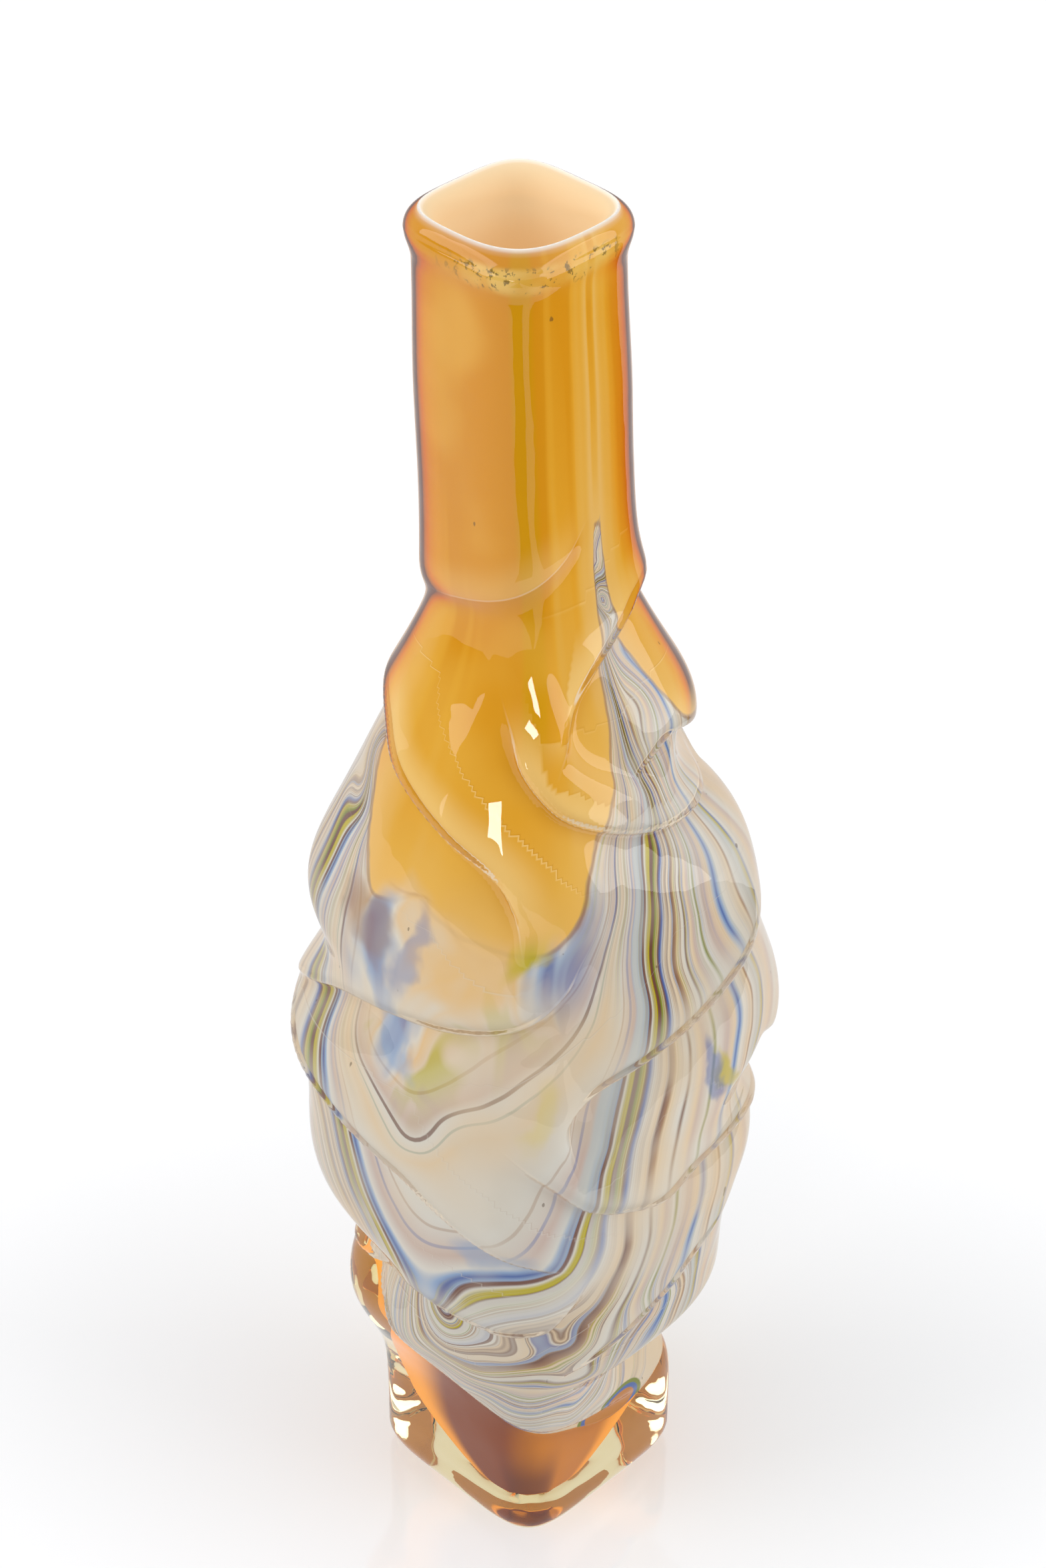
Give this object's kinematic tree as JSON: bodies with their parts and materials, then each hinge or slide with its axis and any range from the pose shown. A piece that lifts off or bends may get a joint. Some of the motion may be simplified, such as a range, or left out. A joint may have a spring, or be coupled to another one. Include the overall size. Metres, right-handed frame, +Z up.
{
  "type": "vase",
  "caption": "Tall blown glass vase with a square amber neck, a belly of overlapping pressed folds in marbled cream, lilac, blue and olive glass, and a thick clear square foot.",
  "frame": {"origin": "centre of the ground flat base, on the surface that the vase stands on", "axes": "+Z up along the vase to its rim; -Y towards the front corner of the square neck and foot; +X to the right seen from the front"},
  "size_m": [0.1455, 0.14, 0.45],
  "materials": {
    "cased_glass": "gloss"
  },
  "bodies": {
    "root": {"vase": "cased_glass"}
  },
  "joints": []
}
